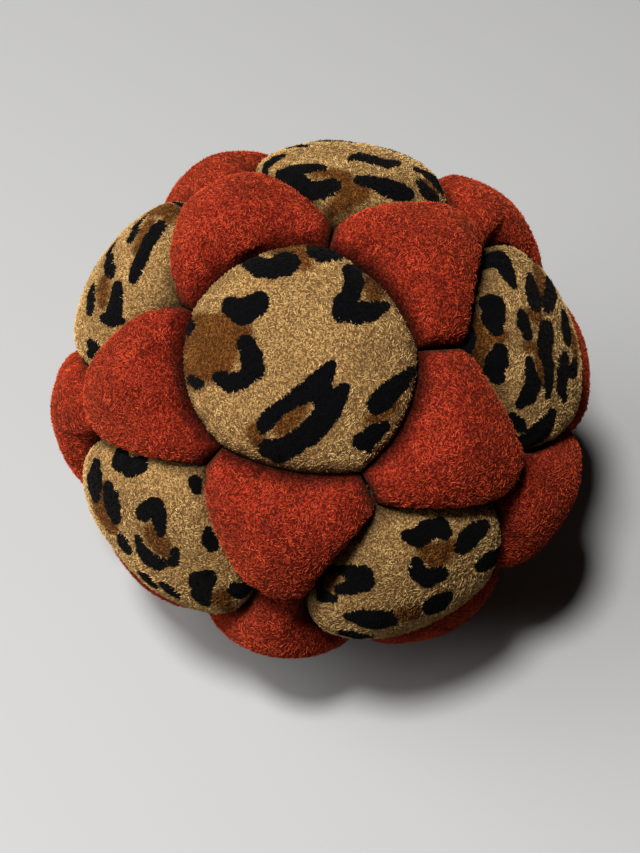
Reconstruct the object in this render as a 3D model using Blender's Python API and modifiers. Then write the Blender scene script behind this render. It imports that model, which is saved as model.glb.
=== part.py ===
# Footbag sewn from thirty-two faux suede panels round a loose pellet fill. Metres, +Z up.
# Twelve five-sided leopard panels sit at the corners of an icosahedron, and twenty six-sided
# rust panels fill its faces. The ball lies at z = 0 on the short seam between two rust panels.

from itertools import combinations
from math import cos, radians, sin, sqrt

import bmesh
import bpy
from mathutils import Vector

# Sizes
GROOVE_RADIUS = 0.0234
LEOPARD_CROWN = 0.0025
RUST_CROWN = 0.0037
FABRIC_THICKNESS = 0.0008
SEAM_ALLOWANCE = 0.0024
PANEL_GAP = 0.0003
THREAD_WIDTH = 0.0006
THREAD_GAP = 0.0003
FILL_GAP = 0.0005
BASE_DENT = 0.0005
WELD_SHARE = 0.1

# Layout of the panels on the ball
LEOPARD_CORNER_ANGLE = radians(26.5)
SEAM_BOW_SHARE = 0.5
LONG_SEAM_STEPS = 4
INNER_SEAM_STEPS = 2

# The loose fill settles, so the ball is wider and lower than a round one
SETTLED_SHARES = Vector((1.02, 1.02, 0.95))

# Section of a panel from its middle to its seam; a higher fullness makes a flatter top
PANEL_RING_SHARES = (0.42, 0.72, 0.91)
FILL_RING_SHARES = (0.6, 0.92)
LEOPARD_FULLNESS = 2.8
RUST_FULLNESS = 2.3

LEOPARD_COLOUR = (0.42, 0.24, 0.10, 1.0)
RUST_COLOUR = (0.42, 0.055, 0.022, 1.0)
THREAD_COLOUR = (0.20, 0.03, 0.015, 1.0)
PELLET_COLOUR = (0.75, 0.73, 0.68, 1.0)


def clear_scene():
    for item in list(bpy.data.objects):
        bpy.data.objects.remove(item)


def make_material(name, colour, roughness):
    material = bpy.data.materials.new(name)
    material.use_nodes = True
    shader = material.node_tree.nodes["Principled BSDF"]
    shader.inputs["Base Color"].default_value = colour
    shader.inputs["Roughness"].default_value = roughness
    shader.inputs["Metallic"].default_value = 0.0
    return material


# Directions on the ball, all unit vectors

def leopard_axes():
    golden = (1 + sqrt(5)) / 2
    corners = []
    for near in (-1, 1):
        for far in (-golden, golden):
            corners += [(0, near, far), (near, far, 0), (far, 0, near)]
    axes = [Vector(corner).normalized() for corner in corners]
    return sorted(axes, key=lambda axis: (-round(axis.z, 6), axis.y, axis.x))


def are_neighbours(first, second):
    return first is not second and first.dot(second) > 0


def rust_triples(axes):
    triples = []
    for triple in combinations(axes, 3):
        if all(are_neighbours(first, second) for first, second in combinations(triple, 2)):
            triples.append(triple)
    return triples


def lean(axis, towards, angle):
    side = (towards - axis * axis.dot(towards)).normalized()
    return axis * cos(angle) + side * sin(angle)


# One side of a leopard panel, between its corners towards two neighbouring leopard panels.
# The stuffing bows it out, part of the way to a circle round the panel.
def long_seam(leopard, first, second, steps):
    start = lean(leopard, first, LEOPARD_CORNER_ANGLE)
    end = lean(leopard, second, LEOPARD_CORNER_ANGLE)
    seam = []
    for step in range(steps + 1):
        straight = start.slerp(end, step / steps)
        angle = leopard.angle(straight)
        angle += (LEOPARD_CORNER_ANGLE - angle) * SEAM_BOW_SHARE
        seam.append(lean(leopard, straight, angle))
    return seam


def anticlockwise(axis, around):
    first = around[0]
    across = axis.cross(first)

    def turn(direction):
        flat = direction - axis * axis.dot(direction)
        start = first - axis * axis.dot(first)
        angle = flat.angle(start)
        return angle if direction.dot(across) >= 0 else -angle

    return sorted(around, key=turn)


def leopard_outline(axis, axes, steps):
    around = anticlockwise(axis, [other for other in axes if are_neighbours(axis, other)])
    outline = []
    for first, second in zip(around, around[1:] + around[:1]):
        outline += long_seam(axis, first, second, steps)[:-1]
    return outline


# The short seams are straight, so each is only the step from one long seam to the next.
def rust_outline(axis, triple, steps):
    first, second, third = anticlockwise(axis, list(triple))
    outline = long_seam(first, third, second, steps)
    outline += long_seam(second, first, third, steps)
    outline += long_seam(third, second, first, steps)
    return outline


# An outline drawn in by an angle seen from the middle of the ball, with mitred corners
def drawn_in(outline, angle):
    moved = []
    for index, here in enumerate(outline):
        before = outline[index - 1]
        after = outline[(index + 1) % len(outline)]
        bisector = (here - before).normalized() + (after - here).normalized()
        inward = here.cross(bisector).normalized()
        moved.append((here + inward * (2 * angle / bisector.length)).normalized())
    return moved


# A ring of a panel's dome, which grows rounder towards the crown
def dome_ring(axis, outline, share, foot_radius, height, fullness):
    radius = foot_radius + height * (1 - share ** fullness) ** (1 / fullness)
    reaches = [axis.angle(edge) for edge in outline]
    round_reach = sum(reaches) / len(reaches)
    ring = []
    for edge, reach in zip(outline, reaches):
        softened = round_reach + (reach - round_reach) * share ** 2
        ring.append(lean(axis, edge, share * softened) * radius)
    return ring


# A surface through closed rings of equal length, ended by a single point
def add_loft(mesh, rings, tip):
    loops = [[mesh.verts.new(point) for point in ring] for ring in rings]
    tip_vertex = mesh.verts.new(tip)
    count = len(loops[0])
    for index in range(count):
        after = (index + 1) % count
        for lower, upper in zip(loops, loops[1:]):
            mesh.faces.new((lower[index], lower[after], upper[after], upper[index]))
        mesh.faces.new((loops[-1][index], loops[-1][after], tip_vertex))


def press_flat(mesh, floor):
    everything = mesh.verts[:] + mesh.edges[:] + mesh.faces[:]
    level = Vector((0, 0, floor))
    bmesh.ops.bisect_plane(mesh, geom=everything, plane_co=level, plane_no=Vector((0, 0, 1)))
    for vertex in mesh.verts:
        vertex.co.z = max(vertex.co.z, floor)


# Outer face of a panel: the turned-in edge first, then the dome up to its crown
def panel_surface(axis, outline, crown, fullness):
    hem_radius = GROOVE_RADIUS - SEAM_ALLOWANCE
    edge = drawn_in(outline, PANEL_GAP / 2 / hem_radius)
    rings = [[direction * hem_radius for direction in edge]]
    rings.append([direction * GROOVE_RADIUS for direction in edge])
    for share in reversed(PANEL_RING_SHARES):
        rings.append(dome_ring(axis, edge, share, GROOVE_RADIUS, crown, fullness))
    mesh = bmesh.new()
    add_loft(mesh, rings, axis * (GROOVE_RADIUS + crown))
    bmesh.ops.scale(mesh, vec=SETTLED_SHARES, verts=mesh.verts)
    return mesh


def add_object(name, mesh, material, collection, parent):
    data = bpy.data.meshes.new(name)
    mesh.to_mesh(data)
    mesh.free()
    data.shade_smooth()
    data.materials.append(material)
    item = bpy.data.objects.new(name, data)
    item.parent = parent
    collection.objects.link(item)
    return item


def add_panel(name, surface, floor, material, collection, parent):
    if min(vertex.co.z for vertex in surface.verts) < floor:
        press_flat(surface, floor)
    panel = add_object(name, surface, material, collection, parent)
    shell = panel.modifiers.new("Fabric", "SOLIDIFY")
    shell.thickness = FABRIC_THICKNESS
    shell.offset = -1
    shell.use_even_offset = True


# The thread runs round every panel, just inside the turned-in edges
def add_thread(outlines, material, collection, parent):
    radius = GROOVE_RADIUS - SEAM_ALLOWANCE - THREAD_GAP - THREAD_WIDTH / 2
    mesh = bmesh.new()
    for _, outline, _, _ in outlines:
        mesh.faces.new([mesh.verts.new(direction * radius) for direction in outline])
    bmesh.ops.remove_doubles(mesh, verts=mesh.verts, dist=THREAD_WIDTH * WELD_SHARE)
    bmesh.ops.scale(mesh, vec=SETTLED_SHARES, verts=mesh.verts)
    thread = add_object("seam_thread", mesh, material, collection, parent)
    strands = thread.modifiers.new("Strands", "WIREFRAME")
    strands.thickness = THREAD_WIDTH
    strands.use_even_offset = True
    strands.use_replace = True


# The pellets swell into every panel and leave a groove for the turned-in edges and the thread
def add_fill(outlines, floor, material, collection, parent):
    lining = FABRIC_THICKNESS + FILL_GAP
    hem_radius = GROOVE_RADIUS - SEAM_ALLOWANCE
    shoulder_radius = hem_radius - FILL_GAP
    bottom_radius = hem_radius - THREAD_GAP - THREAD_WIDTH - 2 * FILL_GAP
    mesh = bmesh.new()
    for axis, outline, crown, fullness in outlines:
        edge = drawn_in(outline, (PANEL_GAP / 2 + lining) / hem_radius)
        rings = [[direction * bottom_radius for direction in outline]]
        rings.append([direction * shoulder_radius for direction in edge])
        for share in reversed(FILL_RING_SHARES):
            rings.append(dome_ring(axis, edge, share, GROOVE_RADIUS, crown - lining, fullness))
        add_loft(mesh, rings, axis * (GROOVE_RADIUS + crown - lining))
    bmesh.ops.remove_doubles(mesh, verts=mesh.verts, dist=THREAD_WIDTH * WELD_SHARE)
    bmesh.ops.scale(mesh, vec=SETTLED_SHARES, verts=mesh.verts)
    press_flat(mesh, floor + lining)
    add_object("pellet_fill", mesh, material, collection, parent)


def main():
    clear_scene()
    collection = bpy.data.collections.new("footbag")
    bpy.context.scene.collection.children.link(collection)
    leopard_suede = make_material("leopard suede", LEOPARD_COLOUR, 0.95)
    rust_suede = make_material("rust suede", RUST_COLOUR, 0.95)
    thread = make_material("thread", THREAD_COLOUR, 0.7)
    pellets = make_material("pellets", PELLET_COLOUR, 0.5)

    axes = leopard_axes()
    panels = []
    inner_outlines = []
    for number, axis in enumerate(axes, 1):
        outline = leopard_outline(axis, axes, LONG_SEAM_STEPS)
        surface = panel_surface(axis, outline, LEOPARD_CROWN, LEOPARD_FULLNESS)
        panels.append((f"leopard_panel_{number:02d}", surface, leopard_suede))
        inner_outline = leopard_outline(axis, axes, INNER_SEAM_STEPS)
        inner_outlines.append((axis, inner_outline, LEOPARD_CROWN, LEOPARD_FULLNESS))
    for number, triple in enumerate(rust_triples(axes), 1):
        axis = sum(triple, Vector()).normalized()
        outline = rust_outline(axis, triple, LONG_SEAM_STEPS)
        surface = panel_surface(axis, outline, RUST_CROWN, RUST_FULLNESS)
        panels.append((f"rust_panel_{number:02d}", surface, rust_suede))
        inner_outline = rust_outline(axis, triple, INNER_SEAM_STEPS)
        inner_outlines.append((axis, inner_outline, RUST_CROWN, RUST_FULLNESS))

    lowest = min(vertex.co.z for _, surface, _ in panels for vertex in surface.verts)
    floor = lowest + BASE_DENT
    ball = bpy.data.objects.new("footbag_middle", None)
    ball.location.z = -floor
    collection.objects.link(ball)
    for name, surface, material in panels:
        add_panel(name, surface, floor, material, collection, ball)
    add_thread(inner_outlines, thread, collection, ball)
    add_fill(inner_outlines, floor, pellets, collection, ball)


main()
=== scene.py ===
import itertools
import math

import bmesh
import bpy
import numpy as np
from mathutils import Matrix, Vector, noise
from mathutils.kdtree import KDTree


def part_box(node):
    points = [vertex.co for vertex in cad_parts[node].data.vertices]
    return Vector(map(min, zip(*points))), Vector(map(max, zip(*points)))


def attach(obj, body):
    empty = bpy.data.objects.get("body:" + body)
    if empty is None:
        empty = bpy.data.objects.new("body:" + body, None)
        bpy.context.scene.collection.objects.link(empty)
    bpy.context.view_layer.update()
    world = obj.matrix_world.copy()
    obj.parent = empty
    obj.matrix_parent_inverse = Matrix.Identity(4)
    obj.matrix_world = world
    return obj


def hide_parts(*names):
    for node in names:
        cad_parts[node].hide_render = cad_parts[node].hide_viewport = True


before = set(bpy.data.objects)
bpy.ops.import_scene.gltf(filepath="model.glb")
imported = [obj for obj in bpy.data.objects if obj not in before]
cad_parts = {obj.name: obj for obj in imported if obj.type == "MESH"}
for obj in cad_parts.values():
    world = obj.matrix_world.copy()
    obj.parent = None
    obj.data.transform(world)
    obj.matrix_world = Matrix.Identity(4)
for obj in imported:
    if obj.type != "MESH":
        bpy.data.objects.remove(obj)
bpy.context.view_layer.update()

# What a hand-sewn footbag varies in, beside the sizes it is cut and stuffed to
ball = {
    "grooveRadius": 0.0233,  # middle of the ball to the bottom of the grooves
    "settled": (1.02, 1.02, 0.95),  # the loose fill sags, so the ball is wide and low
    "cornerReach": 26.5,  # degrees from a leopard panel's middle to its corners
    "handError": 0.7,  # degrees that a corner strays from there
    "seamBow": 0.5,  # 0 is a straight seam, 1 an arc round the leopard panel
    "seamSteps": 24,
    "gap": 0.00010,  # from a panel's fold to the seam's middle
    "hem": 0.0022,  # width of the edges turned inwards
    "fabric": 0.0007,
    "seed": 4,
}
# Leopard panels whose corners plainly stray, by the number of the panel they point to
strayCorners = {
    1: {2: 28.9, 3: 29.6, 4: 25.3, 5: 26.7, 6: 27.8},
    2: {1: 27.0, 3: 23.0, 4: 25.8},
    3: {1: 28.4, 2: 24.5, 5: 24.0},
    4: {1: 26.4, 2: 26.6, 6: 25.7},
    5: {1: 30.0, 3: 25.4, 6: 27.0},
    6: {1: 26.6, 4: 25.7, 5: 24.0},
}
# Seams that bow more or less than most, by the leopard panel and the two that its corners point to
strayBows = {
    (1, 2, 3): 1.0, (1, 3, 5): 1.0, (1, 5, 6): 0.45, (1, 4, 6): 0.8, (1, 2, 4): 0.65,
    (5, 6, 11): 1.1, (6, 5, 11): 1.5, (2, 3, 7): 1.3, (3, 2, 7): 1.4, (4, 2, 8): 1.5,
    (5, 3, 9): 1.4, (5, 9, 11): 0.2,
}

ballMiddle = np.mean(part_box("seam_thread"), axis=0)
settled = np.array(ball["settled"])


def unit(vectors):
    return vectors / np.linalg.norm(vectors, axis=-1, keepdims=True)


# Places as the ball's own directions and radii, from before it settled, and back
def fromMiddle(places):
    ray = (places - ballMiddle) / settled
    return unit(ray), np.linalg.norm(ray, axis=-1)


def onBall(directions, radii):
    return ballMiddle + directions * settled * np.asarray(radii)[..., None]


def placed(name, data):
    thing = bpy.data.objects.new(name, data)
    bpy.context.scene.collection.objects.link(thing)
    return thing


def meshOf(name, places, edges, faces):
    mesh = bpy.data.meshes.new(name)
    mesh.from_pydata(np.asarray(places).tolist(), edges, faces)
    return mesh


def placesOf(mesh):
    places = np.zeros(len(mesh.vertices) * 3)
    mesh.vertices.foreach_get("co", places)
    return places.reshape(-1, 3)


def evaluated(thing):
    return thing.evaluated_get(bpy.context.evaluated_depsgraph_get())


# The plain mesh that one modifier makes of another mesh
def modified(mesh, kind, settings, inputs=()):
    holder = placed("holder", mesh)
    modifier = holder.modifiers.new("Change", kind)
    for name, value in settings.items():
        setattr(modifier, name, value)
    for identifier, value in inputs:
        modifier[identifier] = value
    made = bpy.data.meshes.new_from_object(evaluated(holder))
    bpy.data.objects.remove(holder)
    return made


def divided(mesh, levels, kind):
    return modified(mesh, "SUBSURF", {
        "subdivision_type": kind, "levels": levels, "render_levels": levels})


def lean(axis, towards, angle):
    side = unit(towards - axis * (towards @ axis)[..., None])
    angle = np.asarray(angle)[..., None]
    return axis * np.cos(angle) + side * np.sin(angle)


def leopardAxes():
    golden = (1 + math.sqrt(5)) / 2
    corners = []
    for near, far in itertools.product((-1, 1), (-golden, golden)):
        corners += [(0, near, far), (near, far, 0), (far, 0, near)]
    corners.sort(key=lambda corner: (-corner[2], corner[1], corner[0]))
    return unit(np.array(corners, float))


axes = leopardAxes()
reach = np.radians(ball["cornerReach"] + np.random.default_rng(ball["seed"]).normal(
    0, ball["handError"], (len(axes), len(axes))))
for panel, corners in strayCorners.items():
    for other, angle in corners.items():
        reach[panel - 1, other - 1] = math.radians(angle)


def longSeam(leopard, first, second):
    axis = axes[leopard]
    share = np.linspace(0, 1, ball["seamSteps"] + 1)
    start = lean(axis, axes[first], reach[leopard, first])
    end = lean(axis, axes[second], reach[leopard, second])
    straight = unit(start * (1 - share[:, None]) + end * share[:, None])
    angle = np.arccos(straight @ axis)
    around = reach[leopard, first] * (1 - share) + reach[leopard, second] * share
    name = (leopard + 1, *sorted((first + 1, second + 1)))
    bow = strayBows.get(name, ball["seamBow"])
    return lean(axis, straight, angle + (around - angle) * bow)


def shortSeam(start, end):
    share = np.linspace(0, 1, ball["seamSteps"] + 1)[:, None]
    return unit(start * (1 - share) + end * share)


def anticlockwise(axis, around):
    right = unit(axes[around[0]] - axis * (axes[around[0]] @ axis))
    up = np.cross(axis, right)
    return sorted(around, key=lambda i: math.atan2(axes[i] @ up, axes[i] @ right))


# Every panel as its axis and its sides, each side a run of unit directions
def layOut():
    panels = []
    near = axes @ axes.T > 0.1
    np.fill_diagonal(near, False)
    for i, axis in enumerate(axes):
        around = anticlockwise(axis, list(np.flatnonzero(near[i])))
        sides = [longSeam(i, j, k) for j, k in zip(around, around[1:] + around[:1])]
        panels.append({"kind": "leopard", "number": i + 1, "axis": axis, "sides": sides})
    for triple in itertools.combinations(range(len(axes)), 3):
        if all(near[i, j] for i, j in itertools.combinations(triple, 2)):
            axis = unit(axes[list(triple)].sum(0))
            i, j, k = anticlockwise(axis, list(triple))
            longs = [longSeam(i, k, j), longSeam(j, i, k), longSeam(k, j, i)]
            sides = []
            for seam, after in zip(longs, longs[1:] + longs[:1]):
                sides += [seam, shortSeam(seam[-1], after[0])]
            besides = [i + 1, None, j + 1, None, k + 1, None]
            panels.append({"kind": "rust", "axis": axis, "sides": sides, "besides": besides,
                           "between": tuple(number + 1 for number in triple)})
    for kind in ("leopard", "rust"):
        nodes = [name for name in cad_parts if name.startswith(kind)]
        directions, _ = fromMiddle(np.array([np.mean(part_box(name), axis=0) for name in nodes]))
        for item in panels:
            if item["kind"] == kind:
                item["node"] = nodes[int(np.argmax(directions @ item["axis"]))]
    return panels


panels = layOut()
topRusts = [item["node"] for item in panels if 1 in item.get("besides", [])]
print("layout:", len(panels), "panels,", len({item["node"] for item in panels}), "nodes")

# Shape of the stuffed panels
stuffing = {
    "leopard": {"crown": 0.0028, "shoulder": 0.48, "round": 0.55},
    "rust": {"crown": 0.0037, "shoulder": 0.62, "round": 0.48},
    "plump": 0.0005,  # added to the crowns of the rust panels round the top one
    "strayCrowns": {3: 0.0001, 5: 0.0004},  # added to those of leopard panels, by number
    "overhang": 0.0011,  # how far the rust panels swell over the leopard ones
    "drawnIn": 0.0003,  # how far the others stand back from their seams
    "levels": 5,  # times that a panel's net is divided
    "swellShare": (0.35, 0.90),  # of the way to the seam, where the overhang starts and is whole
    "overhangEnds": 0.7,  # the lower, the nearer to the corners the overhang reaches
    "overhangReturn": 24,  # the higher, the shorter the way back to the seam
    "mostRounds": 400,  # in which a sheet blown up over a panel settles
    "restEnergy": 1e-12,  # share of the pull at which it counts as settled
    "pucker": 0.00010,  # height of the puckers that the stitches pull in
    "puckerLength": 0.0019,
    "puckerReach": 0.0014,
    "puckerStray": 2.5,  # as an angle, by which the puckers come early or late
    "puckerStrayLength": 0.004,
    "lump": 0.00022,  # height of the lumps that the pellets make
    "lumpLength": 0.0042,
    "lumpSpread": 1.2,  # the higher, the nearer to the seams the lumps and dents keep their height
}


# What counts as nothing
smallest = {"length": 1e-9, "area": 1e-12, "angle": 1e-7, "share": 0.001}


# Two directions across an axis, the first of them level unless the axis is upright
def frameOf(axis):
    upright = abs(axis[2]) >= 0.9
    right = unit(np.cross((0, 1, 0) if upright else (0, 0, 1), axis))
    return right, np.cross(axis, right)


def cross2(a, b):
    return a[..., 0] * b[..., 1] - a[..., 1] * b[..., 0]


def arcLength(side):
    return ball["grooveRadius"] * np.arccos(np.clip((side[1:] * side[:-1]).sum(1), -1, 1)).sum()


# The panel cut flat, as an even net of quads between its corners
def flatNet(item):
    right, up = frameOf(item["axis"])
    corners = np.array([side[0] for side in item["sides"]])
    flat = np.stack([corners @ right, corners @ up], 1) / (corners @ item["axis"])[:, None]
    outline = meshOf("net", [(x, y, 0) for x, y in flat], [], [list(range(len(flat)))])
    net = divided(outline, stuffing["levels"], "SIMPLE")
    quads = np.zeros(len(net.loops), int)
    net.loops.foreach_get("vertex_index", quads)
    return flat, placesOf(net)[:, :2], quads.reshape(-1, 4)


# Height of a sheet blown up over the panel, solved on its triangles by conjugate gradients
def sheetHeight(points, quads, edge):
    triangles = np.concatenate([quads[:, [0, 1, 2]], quads[:, [0, 2, 3]]])
    count = len(points)
    first, second, weight = [], [], []
    area = np.zeros(count)
    for a, b, c in ((0, 1, 2), (1, 2, 0), (2, 0, 1)):
        i, j, k = triangles[:, a], triangles[:, b], triangles[:, c]
        u, v = points[i] - points[k], points[j] - points[k]
        normal = np.linalg.norm(np.cross(u, v), axis=1)
        first.append(i)
        second.append(j)
        weight.append((u * v).sum(1) / np.maximum(normal, smallest["area"]) / 2)
        area += np.bincount(k, normal / 6, count)
    first, second, weight = map(np.concatenate, (first, second, weight))

    def pull(x):
        flow = weight * (x[first] - x[second])
        change = np.bincount(first, flow, count) - np.bincount(second, flow, count)
        return np.where(edge, 0, change)

    height = np.zeros(count)
    rest = np.where(edge, 0, area)
    step = rest.copy()
    energy = rest @ rest
    for _ in range(stuffing["mostRounds"]):
        pulled = pull(step)
        length = energy / (step @ pulled)
        height += length * step
        rest -= length * pulled
        after = rest @ rest
        if after < stuffing["restEnergy"] * (area @ area):
            break
        step = rest + after / energy * step
        energy = after
    return np.maximum(height, 0) / height.max()


# Rust panels that swell more or less, by the leopard panels round them and the one that they overhang
strayOverhangs = {
    ((1, 2, 3), 2): 0.0008, ((1, 2, 3), 3): 0.0013, ((1, 3, 5), 3): 0.0016, ((1, 5, 6), 5): 0.0016,
    ((5, 6, 11), 5): 0.0004, ((5, 6, 11), 6): 0.0, ((2, 3, 7), 2): 0.0004, ((2, 3, 7), 3): 0.0004,
    ((3, 5, 9), 5): 0.0, ((2, 4, 8), 4): 0.0, ((1, 2, 4), 4): 0.0, ((1, 5, 6), 6): 0.0001,
    ((1, 4, 6), 6): 0.0008, ((1, 4, 6), 4): 0.0004,
}


# Above the seam a rust panel swells sideways over its leopard neighbours, which give way
def swell(item, side):
    if item["kind"] == "leopard" or item["besides"][side] == 1:
        return -stuffing["drawnIn"]
    beside = item["besides"][side]
    return strayOverhangs.get((item["between"], beside), stuffing["overhang"] if beside else 0.0)


def spread(item):
    flat, spots, quads = flatNet(item)
    axis, sides = item["axis"], item["sides"]
    count = len(spots)
    share = np.zeros(count)
    edgeDirection = np.tile(axis, (count, 1))
    along = np.zeros(count)
    aside = np.zeros(count)
    starts = np.concatenate([[0], np.cumsum([arcLength(side) for side in sides])])
    turned = np.arctan2(spots[:, 1], spots[:, 0])
    for k, side in enumerate(sides):
        p, q = flat[k], flat[(k + 1) % len(flat)]
        begin = math.atan2(p[1], p[0])
        width = (math.atan2(q[1], q[0]) - begin) % (2 * math.pi)
        inside = (turned - begin) % (2 * math.pi) <= width + smallest["angle"]
        inside &= (np.abs(spots) > smallest["length"]).any(1)
        ray = spots[inside]
        part = np.clip(-cross2(ray, p) / cross2(ray, q - p), 0, 1)
        share[inside] = cross2(ray, q - p) / cross2(p, q - p)
        place = part * (len(side) - 1)
        floor = np.minimum(place.astype(int), len(side) - 2)
        rest = (place - floor)[:, None]
        edgeDirection[inside] = unit(side[floor] * (1 - rest) + side[floor + 1] * rest)
        along[inside] = starts[k] + part * (starts[k + 1] - starts[k])
        aside[inside] = swell(item, k) * np.sin(math.pi * part) ** stuffing["overhangEnds"]
    share = np.clip(share, 0, 1)
    edge = share > 1 - smallest["share"]
    edgeTilt = np.arccos(np.clip(edgeDirection @ axis, -1, 1)) - ball["gap"] / ball["grooveRadius"]
    roundTilt = edgeTilt[edge].mean()
    tilt = share * (roundTilt + (edgeTilt - roundTilt) * share ** 2)
    least, whole = stuffing["swellShare"]
    rise = np.clip((share - least) / (whole - least), 0, 1)
    rise = rise * rise * (3 - 2 * rise) * (1 - share ** stuffing["overhangReturn"])
    away = edgeDirection - axis * (edgeDirection @ axis)[:, None]
    away /= np.maximum(np.linalg.norm(away, axis=1), smallest["length"])[:, None]
    direction = axis * np.cos(tilt)[:, None] + away * np.sin(tilt)[:, None]
    item["dome"] = sheetHeight(direction, quads, edge)
    tilt = tilt + aside * rise / ball["grooveRadius"]
    direction = axis * np.cos(tilt)[:, None] + away * np.sin(tilt)[:, None]
    item.update(direction=direction, quads=quads, edge=edge, along=along)
    item["seamDistance"] = (edgeTilt - tilt).clip(0) * ball["grooveRadius"]


def unevenness(places, length, seed):
    shift = Vector((seed * 3.7, seed * 1.9, seed * 5.3))
    return np.array([noise.noise(Vector(place) / length + shift) for place in places])


# Where a panel is pressed in, or bulges if the depth is below 0, by its number or those it lies between:
# azimuth and elevation from the ball's middle in degrees, then the depth and how far it reaches
dents = {
    5: [(-100, -5, -0.0004, 0.0040), (-140, 10, -0.0006, 0.0050)],
    6: [(-77, -5, -0.0007, 0.0045)],
    (5, 6, 11): [(-85, 2, 0.0026, 0.0045)],
    (1, 2, 3): [(-161, 78, 0.0005, 0.0021), (-147, 61, 0.0005, 0.0021), (148, 55, 0.0009, 0.0040)],
}


def dented(item):
    depth = np.zeros(len(item["direction"]))
    for azimuth, elevation, most, across in dents.get(item.get("number", item.get("between")), []):
        turn, tilt = math.radians(azimuth), math.radians(elevation)
        level = math.cos(tilt)
        spot = np.array([math.cos(turn) * level, math.sin(turn) * level, math.sin(tilt)])
        apart = ball["grooveRadius"] * np.linalg.norm(item["direction"] - spot, axis=1)
        depth += most * np.exp(-(apart / across) ** 2)
    return depth


def stuff(item):
    spread(item)
    base = item["direction"] * ball["grooveRadius"]
    stray = stuffing["puckerStray"] * unevenness(base, stuffing["puckerStrayLength"], 11)
    ripple = np.sin(2 * math.pi * item["along"] / stuffing["puckerLength"] + stray)
    reachIn = np.exp(-item["seamDistance"] / stuffing["puckerReach"])
    pucker = np.where(item["edge"], 0, stuffing["pucker"] * ripple * reachIn)
    lump = stuffing["lump"] * unevenness(base, stuffing["lumpLength"], 3)
    shape = stuffing[item["kind"]]
    crown = shape["crown"] + stuffing["plump"] * (item["node"] in topRusts)
    crown += stuffing["strayCrowns"].get(item.get("number"), 0)
    slope = np.clip(item["dome"] / shape["shoulder"], 0, 1)
    shoulder = np.sqrt(slope * (2 - slope))
    height = crown * (shoulder * shape["round"] + item["dome"] * (1 - shape["round"]))
    uneven = lump - dented(item)
    height += uneven * np.minimum(item["dome"] * stuffing["lumpSpread"], 1)
    radius = ball["grooveRadius"] + height + pucker
    item["places"] = onBall(item["direction"], radius)


for item in panels:
    stuff(item)
print("panels: spread and domed")

# The panels are blown up as cloth, held along their seams, with more cloth than the dome needs
cloth = {
    "scale": 20,  # the cloth solver is made for things of a metre
    "frames": 16,
    "most": 0.0006,  # furthest that a point may move
    "solver": {
        "quality": 7,
        "mass": 0.25,
        "tension_stiffness": 30.0,
        "compression_stiffness": 30.0,
        "shear_stiffness": 15.0,
        "bending_stiffness": 1.2,
        "shrink_min": -0.035,  # below 0, the share by which the cloth is larger than the dome
        "use_pressure": True,
        "uniform_pressure_force": 6.0,
        "pin_stiffness": 1.0,
    },
}


def blowUp():
    counts = [len(item["places"]) for item in panels]
    offsets = np.concatenate([[0], np.cumsum(counts)])
    places = np.concatenate([item["places"] for item in panels])
    quads = np.concatenate([item["quads"] + start for item, start in zip(panels, offsets)])
    sheet = placed("cloth", meshOf("cloth", places * cloth["scale"], [], quads.tolist()))
    held = sheet.vertex_groups.new(name="seams")
    edge = np.concatenate([item["edge"] for item in panels])
    held.add(np.flatnonzero(edge).tolist(), 1.0, "REPLACE")
    solver = sheet.modifiers.new("Cloth", "CLOTH")
    for name, value in cloth["solver"].items():
        setattr(solver.settings, name, value)
    solver.settings.effector_weights.gravity = 0
    solver.settings.vertex_group_mass = held.name
    solver.point_cache.frame_start = 1
    solver.point_cache.frame_end = cloth["frames"]
    for moment in range(1, cloth["frames"] + 1):
        bpy.context.scene.frame_set(moment)
    step = placesOf(evaluated(sheet).to_mesh()) / cloth["scale"] - places
    bpy.data.objects.remove(sheet)
    bpy.context.scene.frame_set(1)
    length = np.linalg.norm(step, axis=1)
    limit = cloth["most"] * np.tanh(length / cloth["most"]) / np.maximum(length, smallest["length"])
    step *= limit[:, None]
    print("cloth: moved", round(float(length.mean()) * 1000, 3), "mm on average, at most",
          round(float(length.max()) * 1000, 3), "mm")
    for item, start, count in zip(panels, offsets, counts):
        item["places"] = item["places"] + step[start:start + count]


blowUp()


# The photograph's view, in a frame of 640 by 853 pixels
view = {
    "azimuth": 9.04,
    "elevation": 49.88,
    "roll": 2.21,
    "distance": 0.1743,
    "focalPixels": 1692.9,
    "ballPixel": (324.5, 394.0),
    "frame": (640, 853),
    "sensor": 36.0,
    "nearest": 0.001,  # metres from the camera at which it starts to see
}


def cameraAxes():
    turn, tilt, roll = (math.radians(view[name]) for name in ("azimuth", "elevation", "roll"))
    level = math.cos(tilt)
    back = np.array([math.sin(turn) * level, -math.cos(turn) * level, math.sin(tilt)])
    right = unit(np.cross((0, 0, 1), back))
    up = np.cross(back, right)
    turned = right * math.cos(roll) + up * math.sin(roll)
    return turned, np.cross(back, turned), back


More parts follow.
